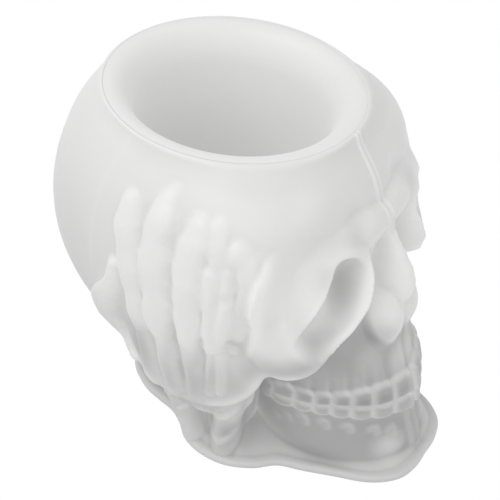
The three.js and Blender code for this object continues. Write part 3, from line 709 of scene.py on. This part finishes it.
def skin_tone_with_painted_light(angle, z, reach, sizes):
    """The tone of the outer skin: its own milkiness, with painted shade lower down, on the back, the
    jaw and in the socket, patches of painted shade and light, and painted highlights on steep sides,
    ridges and tooth outlines.
    """
    away = np.abs(angle)
    # Painted shade: darker towards the bottom, and on the back lower down
    back = BACK_PAINTED_SHADE * smooth_step(*BACK_DIRECTIONS, away) * smooth_step(*BACK_HEIGHTS, z)
    milk_and_painted_light = LOW_TONE + TONE_RISE * smooth_step(*TONE_HEIGHTS, z) - back

    # Painted shade on the jaw, then patches of painted shade and painted light
    bare = soft_max(cranium_reach(away, z, sizes), jaw_reach(away, z), JAW_BLEND)
    bare = soft_max(bare, flare_reach(away, z, sizes), FLARE_BLEND)
    jaw = (1 - smooth_step(*JAW_DIRECTIONS, away)) * smooth_step(*JAW_HEIGHTS, z)
    jaw = jaw * smooth_step(*JAW_COVER, reach - bare)
    milk_and_painted_light = milk_and_painted_light * (1 - jaw) + JAW_SHADED_TONE * jaw + spots(SHADE_AND_LIGHT_MARKS, away, z)

    # Painted shade in the socket's hollow, on its side towards the nose
    turn, from_centre = around(away, z, SOCKET_CENTRE)
    deep = curve(polar(SOCKET_MOUTH, SOCKET_CENTRE), turn) - from_centre
    socket_shade = SOCKET_PAINTED_SHADE * smooth_step(*SOCKET_SHADE_DEPTHS, deep)
    milk_and_painted_light = milk_and_painted_light - socket_shade * smooth_step(*SOCKET_SHADE_SIDE, np.abs(turn))

    # Painted highlights on steep sides and tooth outlines, held back on shaded undersides
    fine = surface_normals(place_points(angle, reach, z))
    plain = soften(reach, PLAIN_PASSES)
    broad = surface_normals(place_points(angle, plain, z))
    steep = np.clip(1 - np.sum(fine * broad, axis=-1) - LEAST_STEEP, 0, 1)
    steep_highlight = STEEP_PAINTED_HIGHLIGHT * (1 - spots(SHADED_UNDERSIDES, away, z))
    painted_highlight = steep_highlight * soften(steep, 1) ** STEEP_POWER
    painted_highlight = painted_highlight + TOOTH_EDGE_HIGHLIGHT * tooth_outline(away, z)
    # Painted highlight on ridges and painted shade in crevices
    ridge = np.clip(soften(reach - plain, 2), -RIDGE_LIMIT, RIDGE_LIMIT)
    milk_and_painted_light = milk_and_painted_light + RIDGE_HIGHLIGHT_AND_SHADE * (ridge * smooth_step(*RIDGE_DIRECTIONS, away))
    return np.clip(milk_and_painted_light + painted_highlight * (MOST_TONE - milk_and_painted_light), 0, MOST_TONE)


def add_object(name, data):
    """A new object in the scene."""
    made = bpy.data.objects.new(name, data)
    bpy.context.scene.collection.objects.link(made)
    return made


def give_points(mesh, values):
    """Writes named values on the points of a mesh."""
    for key, value in values.items():
        layer = mesh.attributes.new(key, "FLOAT", "POINT")
        layer.data.foreach_set("value", np.array(value, np.float32))


def closed_band(name, rings):
    """A closed mesh from rings of points with their tones, the last one joined to the first."""
    counts = [len(ring) for ring, _ in rings]
    starts = np.cumsum([0] + counts)
    faces = []
    for r, here in enumerate(counts):
        n = (r + 1) % len(rings)
        if here == counts[n]:
            i = np.arange(here)
            j = (i + 1) % here
            quad = np.stack([starts[r] + i, starts[n] + i, starts[n] + j, starts[r] + j], axis=1)
            faces += quad.tolist()
            continue
        flip = here > counts[n]
        wide, slim = (r, n) if flip else (n, r)
        big = starts[wide] + np.arange(counts[wide])
        small = starts[slim] + np.arange(counts[slim])
        even, odd, after, following = big[0::2], big[1::2], np.roll(big[0::2], -1), np.roll(small, -1)
        for a, b, c in ((even, small, odd), (odd, small, following), (odd, following, after)):
            faces += np.stack([a, b, c] if flip else [a, c, b], axis=1).tolist()
    mesh = bpy.data.meshes.new(name)
    mesh.from_pydata(np.concatenate([ring for ring, _ in rings]).tolist(), [], faces)
    mesh.update()
    milk_and_painted_light = np.concatenate([np.full(len(ring), tone) for ring, tone in rings])
    # Each point's tone carries painted shade and painted highlights; the painted glow's share is the
    # same all over the skin
    give_points(mesh, {"milk_and_painted_light": milk_and_painted_light, "painted_glow": np.full_like(milk_and_painted_light, SKIN_PAINTED_GLOW)})
    mesh.shade_smooth()
    return add_object(name, mesh)


class Socket:
    """A shader socket that Python's own arithmetic can be written on."""

    def __init__(self, tree, output):
        self.tree, self.output = tree, output

    @staticmethod
    def node(tree, kind, settings=None, **sockets):
        """A new node. Inputs are named, with _ for a space, or numbered as _0, _1 and so on."""
        made = tree.nodes.new(kind)
        for key, value in (settings or {}).items():
            setattr(made, key, value)
        for key, value in sockets.items():
            socket = made.inputs[int(key[1:]) if key[0] == "_" else key.replace("_", " ")]
            if isinstance(value, Socket):
                tree.links.new(value.output, socket)
            else:
                socket.default_value = value
        return made

    def math(self, operation, *others):
        values = {f"_{i}": v for i, v in enumerate((self,) + others)}
        made = Socket.node(self.tree, "ShaderNodeMath", {"operation": operation}, **values)
        return Socket(self.tree, made.outputs[0])

    def __add__(self, other):
        return self.math("ADD", other)

    def __mul__(self, other):
        return self.math("MULTIPLY", other)

    def __sub__(self, other):
        return self.math("SUBTRACT", other)


def empty_tree(owner):
    """The cleared node tree of a material or a world."""
    owner.use_nodes = True
    owner.node_tree.nodes.clear()
    return owner.node_tree


def silicone_material(look):
    """Milky silicone: darker where it is thin, with painted shade and painted highlights in its tone
    and a painted glow in its emission, faintly clouded, with a satin surface.
    """
    tree = empty_tree(bpy.data.materials.new("cast_silicone"))

    def make(kind, result, settings=None, **sockets):
        return Socket(tree, Socket.node(tree, kind, settings, **sockets).outputs[result])

    def given(name):
        return make("ShaderNodeAttribute", "Fac", {"attribute_name": name})

    def noise(scale, detail, roughness):
        return make("ShaderNodeTexNoise", "Fac", Vector=place, Scale=scale, Detail=detail,
                    Roughness=roughness)

    def mix(factor, a, b):
        settings = {"data_type": "RGBA", "clamp_factor": True}
        return make("ShaderNodeMix", 2, settings, _0=factor, _6=a, _7=b)

    place = make("ShaderNodeTexCoord", "Object")
    milk_and_painted_light, cloud, grain = given("milk_and_painted_light"), noise(*CLOUD), noise(*GRAIN)
    tone = milk_and_painted_light + (cloud - 0.5) * CLOUD_TONE + (grain - 0.5) * GRAIN_TONE
    # Painted glow: an emitted share of the colour, standing in for light carried through the silicone
    painted_glow = given("painted_glow")
    black = (0.0, 0.0, 0.0, 1.0)
    colour = mix(tone * TONE_SPAN, (*look.thin, 1.0), (*look.thick, 1.0))
    lit, painted_glow_colour = mix(painted_glow, colour, black), mix(painted_glow, black, colour)
    bump = make("ShaderNodeBump", "Normal", Strength=0.25, Distance=0.0003,
                Height=cloud * CLOUD_BUMP + grain * GRAIN_BUMP)
    shader = make("ShaderNodeBsdfPrincipled", "BSDF", Base_Color=lit, Emission_Color=painted_glow_colour,
                  Emission_Strength=1.0, Roughness=(grain - 0.5) * GRAIN_ROUGHNESS + look.roughness,
                  IOR=1.41, Specular_IOR_Level=0.35, Normal=bump)
    Socket.node(tree, "ShaderNodeOutputMaterial", Surface=shader)


def lip_rings(angles, sizes):
    """Rings of the bottom lip, from its flat underside to its top."""
    edge, lip = bottom_edge_reach(np.abs(angles)), sizes.lip_thickness / MM
    places = ((LIP_ROUNDING, 0), (0, LIP_ROUNDING), (0, lip - LIP_ROUNDING), (LIP_ROUNDING, lip))
    return [(place_points(angles, edge - inset, z), tone)
            for (inset, z), tone in zip(places, LIP_TONES)]


def outer_rings(angles, sizes):
    """Rings of the outer surface, from the lip's top to the crown."""
    angle, z = np.meshgrid(angles, row_heights(sizes))
    reach = even_out(outer_reach(angle, z, sizes), angle, z)
    edge = bottom_edge_reach(np.abs(angles)) - sizes.lip_reach / MM / 4
    reach[0] = np.minimum(reach[0], edge)
    over = np.clip(z - (sizes.height / MM - CROWN_ROUNDING_HEIGHT), 0, 1)
    reach = reach - (1 - np.sqrt(1 - over ** 2)) * CROWN_ROUNDING
    return list(zip(place_points(angle, reach, z), skin_tone_with_painted_light(angle, z, reach, sizes)))


def seat_rings(angles, coarse, sizes):
    """Rings of the seat for the core's ring, and of the throat below it."""
    height = sizes.height / MM
    ledge = height - SEAT_DEPTH
    seat = (angles, SEAT_RADIUS, SEAT_TONE, (height, ledge))
    throat = (coarse, THROAT_RADIUS, THROAT_TONE, (ledge, ledge - LEDGE))
    return [(place_points(turns, circle_reach(turns, radius), level), tone)
            for turns, radius, tone, levels in (seat, throat) for level in levels]


def inner_rings(coarse, sizes):
    """Rings of the inner side, from the throat down to the open bottom."""
    height, wall, lip = sizes.height / MM, sizes.wall / MM, sizes.lip_thickness / MM
    top = height - SEAT_DEPTH - LEDGE
    rings = []
    for level in np.linspace(top, 0, INNER_ROWS):
        near = []
        for turn in INNER_TURNS:
            foot = bottom_edge_reach(np.abs(coarse + turn)) - sizes.lip_reach / MM
            for lift in INNER_LIFTS:
                at = np.clip(level + lift, lip, top + 2)
                reach = head_reach(coarse + turn, np.full_like(coarse, at), sizes)
                near.append(np.minimum(reach, foot) if at <= lip else reach)
        reach = np.min(near, axis=0) - wall
        # Painted shade on the inner side, darker lower down
        rings.append((place_points(coarse, reach, level),
                      INNER_TONE + INNER_TONE_RISE * level / height))
    return rings


class MOULD_OT_skin(bpy.types.Operator):
    """Make the silicone skin with the skull and the hands"""

    bl_idname = "mould.skin"
    bl_label = "Silicone skin"

    def execute(self, context):
        sizes = context.scene.mould_skin
        angles = column_angles()
        coarse = angles[::2]
        skin = closed_band("silicone_skin", [
            *lip_rings(angles, sizes), *outer_rings(angles, sizes),
            *seat_rings(angles, coarse, sizes), *inner_rings(coarse, sizes)])
        skin.data.materials.append(bpy.data.materials["cast_silicone"])
        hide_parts("skull_skin")
        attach(skin, "skin")
        return {"FINISHED"}


def turning_tree():
    """Geometry Nodes that turn a profile of [radius, height] edges round an upright line."""
    tree = bpy.data.node_groups.new("turned_piece", "GeometryNodeTree")
    tree.is_modifier = True
    inputs = (("Profile", "NodeSocketGeometry"), ("Sides", "NodeSocketInt"),
              ("Turning radius", "NodeSocketFloat"), ("Centre", "NodeSocketVector"),
              ("Weld distance", "NodeSocketFloat"), ("Material", "NodeSocketMaterial"))
    for name, kind in inputs:
        tree.interface.new_socket(name=name, in_out="INPUT", socket_type=kind)
    tree.interface.new_socket(name="Geometry", in_out="OUTPUT", socket_type="NodeSocketGeometry")
    given = tree.nodes.new("NodeGroupInput")

    def value(name):
        return Socket(tree, given.outputs[name])

    def make(kind, settings=None, **sockets):
        return Socket(tree, Socket.node(tree, kind, settings, **sockets).outputs[0])

    path = make("GeometryNodeCurvePrimitiveCircle", Resolution=value("Sides"),
                Radius=value("Turning radius"))
    path = make("GeometryNodeSetCurveNormal", {"mode": "Z_UP"}, Curve=path)
    outline = make("GeometryNodeMeshToCurve", Mesh=value("Profile"))
    turned = make("GeometryNodeCurveToMesh", Curve=path, Profile_Curve=outline)
    welded = make("GeometryNodeMergeByDistance", Geometry=turned, Distance=value("Weld distance"))
    placed = make("GeometryNodeTransform", Geometry=welded, Translation=value("Centre"))
    smooth = make("GeometryNodeSetShadeSmooth", Geometry=placed)
    real = make("GeometryNodeRealizeInstances", Geometry=smooth)
    done = make("GeometryNodeSetMaterial", Geometry=real, Material=value("Material"))
    result = tree.nodes.new("NodeGroupOutput")
    tree.links.new(done.output, result.inputs[0])
    return tree


def turned_mesh(name, profile, tones, settings):
    """A closed mesh from a profile, turned by the Geometry Nodes above and made plain."""
    reach = settings["Turning radius"]
    points = [(radius * MM - reach, -z * MM, 0) for radius, z in profile]
    edges = [(i, i + 1) for i in range(len(points) - 1)]
    outline = bpy.data.meshes.new(name + "_profile")
    outline.from_pydata(points, edges, [])
    give_points(outline, tones)
    source = add_object(name + "_profile", outline)
    modifier = source.modifiers.new("turning", "NODES")
    modifier.node_group = turning_tree()
    for item in modifier.node_group.interface.items_tree:
        if item.in_out == "INPUT" and item.name in settings:
            modifier[item.identifier] = settings[item.name]
    bpy.context.view_layer.update()
    turned = source.evaluated_get(bpy.context.evaluated_depsgraph_get())
    mesh = bpy.data.meshes.new_from_object(turned)
    mesh.name = name
    source.modifiers.remove(modifier)
    bpy.data.objects.remove(source)
    return add_object(name, mesh)


def arc(centre, radii, start, end, count):
    """Points of a profile on a round or oval arc, from one direction to another in degrees."""
    turns = np.radians(np.linspace(start, end, count))
    return [(centre[0] + radii[0] * math.cos(t), centre[1] + radii[1] * math.sin(t)) for t in turns]


def between(start, end, count):
    """Points of a profile on a straight line, without its ends."""
    return list(zip(*(np.linspace(a, b, count)[1:-1] for a, b in zip(start, end))))


def cup_profile(sizes, height):
    """The core's [radius, height] profile, from below its floor, over the ring and into the cup."""
    mouth, depth = sizes.mouth_radius / MM, sizes.depth / MM
    rim = (sizes.rounding / MM, sizes.rounding_depth / MM)
    corner, edge = (CUP_CORNER, CUP_CORNER), (FLANGE_ROUNDING, FLANGE_ROUNDING)
    floor = height - depth
    floor_radius = mouth - sizes.taper / MM
    outer_floor = floor_radius + CORE_WALL
    under, top = floor - CORE_FLOOR, height - FLANGE_THICKNESS
    profile = [(0.0, under)]
    profile += arc((outer_floor - CUP_CORNER, under + CUP_CORNER), corner, -90, 0, CORNER_POINTS)
    profile += between((outer_floor, under + CUP_CORNER), (CORE_OUTER_RADIUS, top), OUTER_POINTS)
    profile += [(CORE_OUTER_RADIUS, top), (FLANGE_RADIUS, top)]
    profile += arc((FLANGE_RADIUS - FLANGE_ROUNDING, height - FLANGE_ROUNDING),
                   edge, 0, 90, EDGE_POINTS)
    profile += arc((mouth + rim[0], height - rim[1]), rim, 90, 180, RIM_POINTS)
    profile += between((mouth, height - rim[1]), (floor_radius, floor + CUP_CORNER), INNER_POINTS)
    profile += arc((floor_radius - CUP_CORNER, floor + CUP_CORNER), corner, 0, -90, CORNER_POINTS)
    profile += [(0.0, floor)]
    return profile


class MOULD_OT_core(bpy.types.Operator):
    """Make the tapered cup with its flat ring"""

    bl_idname = "mould.core"
    bl_label = "Cup core"

    def execute(self, context):
        sizes = context.scene.mould_core
        height = context.scene.mould_skin.height / MM
        profile = cup_profile(sizes, height)
        z = np.array(profile)[:, 1]
        in_cup = np.arange(len(z)) > len(z) // 2
        inside = in_cup * np.clip((height - z) / (sizes.depth / MM), 0, 1)
        # Painted shade deeper down in the cup, and the painted glow's share
        tones = {"milk_and_painted_light": 1.0 - CUP_PAINTED_SHADE * smooth_step(0, CUP_SHADE_DEPTH, inside),
                 "painted_glow": np.full_like(z, CORE_PAINTED_GLOW)}
        core = turned_mesh("cup_core_cast", profile, tones, {
            "Sides": CORE_SIDES, "Turning radius": FLANGE_RADIUS * MM,
            "Centre": (0.0, (RING_CENTRE_Y + TO_MIDDLE) * MM, 0.0), "Weld distance": WELD_DISTANCE,
            "Material": bpy.data.materials["cast_silicone"]})
        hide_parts("cup_core")
        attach(core, "core")
        return {"FINISHED"}


class MOULD_OT_stage(bpy.types.Operator):
    """Set the floor, the lamps and the camera"""

    bl_idname = "mould.stage"
    bl_label = "Studio"

    def execute(self, context):
        scene = context.scene
        settings = scene.mould_studio
        x, y, z = CAMERA_TARGET
        target = Vector((x, y + TO_MIDDLE, z)) * MM
        back = Vector(CAMERA_BACK).normalized()
        level = Vector((-back.y, back.x, 0)).normalized() * -1
        lift = back.cross(level).normalized()
        if lift.z < 0:
            level, lift = -level, -lift
        roll = math.radians(CAMERA_ROLL)
        right = math.cos(roll) * level + math.sin(roll) * lift
        up = -math.sin(roll) * level + math.cos(roll) * lift
        data = bpy.data.cameras.new("photo_camera")
        data.sensor_width, data.lens = 36.0, settings.lens
        data.clip_start, data.clip_end = 0.01, 20.0
        camera = add_object("photo_camera", data)
        turned = Matrix((right, up, back)).transposed().to_4x4()
        camera.matrix_world = Matrix.Translation(target + back * CAMERA_DISTANCE) @ turned
        scene.camera = camera

        mesh = bpy.data.meshes.new("floor")
        corners = ((-1, -1), (1, -1), (1, 1), (-1, 1))
        corners = [(x * FLOOR_SIZE, y * FLOOR_SIZE, 0) for x, y in corners]
        mesh.from_pydata(corners, [], [(0, 1, 2, 3)])
        floor = add_object("floor", mesh)
        mesh.materials.append(white_to_camera("pale_floor", settings.floor))

        world = bpy.data.worlds.new("studio_sky")
        tree = empty_tree(world)
        seen = Socket(tree, Socket.node(tree, "ShaderNodeLightPath").outputs["Is Camera Ray"])
        sky = Socket.node(tree, "ShaderNodeBackground", Color=(1, 1, 1, 1),
                          Strength=seen * (1.0 - settings.sky) + settings.sky)
        Socket.node(tree, "ShaderNodeOutputWorld", Surface=Socket(tree, sky.outputs[0]))
        scene.world = world

        aim = Vector(LAMP_AIM)
        lamps = (("key_lamp", KEY_PLACE, KEY_SIZE, settings.key),
                 ("fill_lamp", FILL_PLACE, FILL_SIZE, settings.fill))
        for name, place, size, power in lamps:
            light = bpy.data.lights.new(name, "AREA")
            light.shape, light.size, light.energy = "DISK", size, power
            lamp = add_object(name, light)
            lamp.location = Vector(place)
            lamp.rotation_euler = (Vector(place) - aim).to_track_quat("Z", "Y").to_euler()
        scene.view_settings.view_transform = "Standard"
        return {"FINISHED"}


def white_to_camera(name, colour):
    """A pale floor that the camera, and what mirrors it, sees as plain white."""
    material = bpy.data.materials.new(name)
    tree = empty_tree(material)
    path = Socket.node(tree, "ShaderNodeLightPath")
    seen = Socket(tree, path.outputs["Is Camera Ray"]).math(
        "MAXIMUM", Socket(tree, path.outputs["Is Glossy Ray"])).math(
        "MAXIMUM", Socket(tree, path.outputs["Is Transmission Ray"]))
    pale = Socket.node(tree, "ShaderNodeBsdfDiffuse", Color=(*colour, 1.0))
    white = Socket.node(tree, "ShaderNodeEmission", Color=(1, 1, 1, 1), Strength=1.0)
    mix = Socket.node(tree, "ShaderNodeMixShader", _0=seen, _1=Socket(tree, pale.outputs[0]),
                      _2=Socket(tree, white.outputs[0]))
    Socket.node(tree, "ShaderNodeOutputMaterial", Surface=Socket(tree, mix.outputs[0]))
    return material


class MOULD_PT_panel(bpy.types.Panel):
    """Lists the mould's sizes, look and pieces"""

    bl_label = "Skull pouring mould"
    bl_idname = "MOULD_PT_panel"
    bl_space_type = "VIEW_3D"
    bl_region_type = "UI"
    bl_category = "Mould"

    def draw(self, context):
        for name in ("mould_skin", "mould_core", "mould_look", "mould_studio"):
            group = getattr(context.scene, name)
            box = self.layout.box()
            for key in group.__annotations__:
                box.prop(group, key)
        for operator in (MOULD_OT_skin, MOULD_OT_core, MOULD_OT_stage):
            self.layout.operator(operator.bl_idname)


GROUPS = {"mould_skin": SkinSizes, "mould_core": CoreSizes, "mould_look": SiliconeLook,
          "mould_studio": StudioSettings}
CLASSES = (*GROUPS.values(), MOULD_OT_skin, MOULD_OT_core, MOULD_OT_stage, MOULD_PT_panel)


def register():
    for cls in CLASSES:
        bpy.utils.register_class(cls)
    for name, group in GROUPS.items():
        setattr(bpy.types.Scene, name, bpy.props.PointerProperty(type=group))


def unregister():
    for name in GROUPS:
        delattr(bpy.types.Scene, name)
    for cls in reversed(CLASSES):
        bpy.utils.unregister_class(cls)


def main():
    register()
    silicone_material(bpy.context.scene.mould_look)
    bpy.ops.mould.skin()
    bpy.ops.mould.core()
    bpy.ops.mould.stage()


if __name__ == "__main__":
    main()
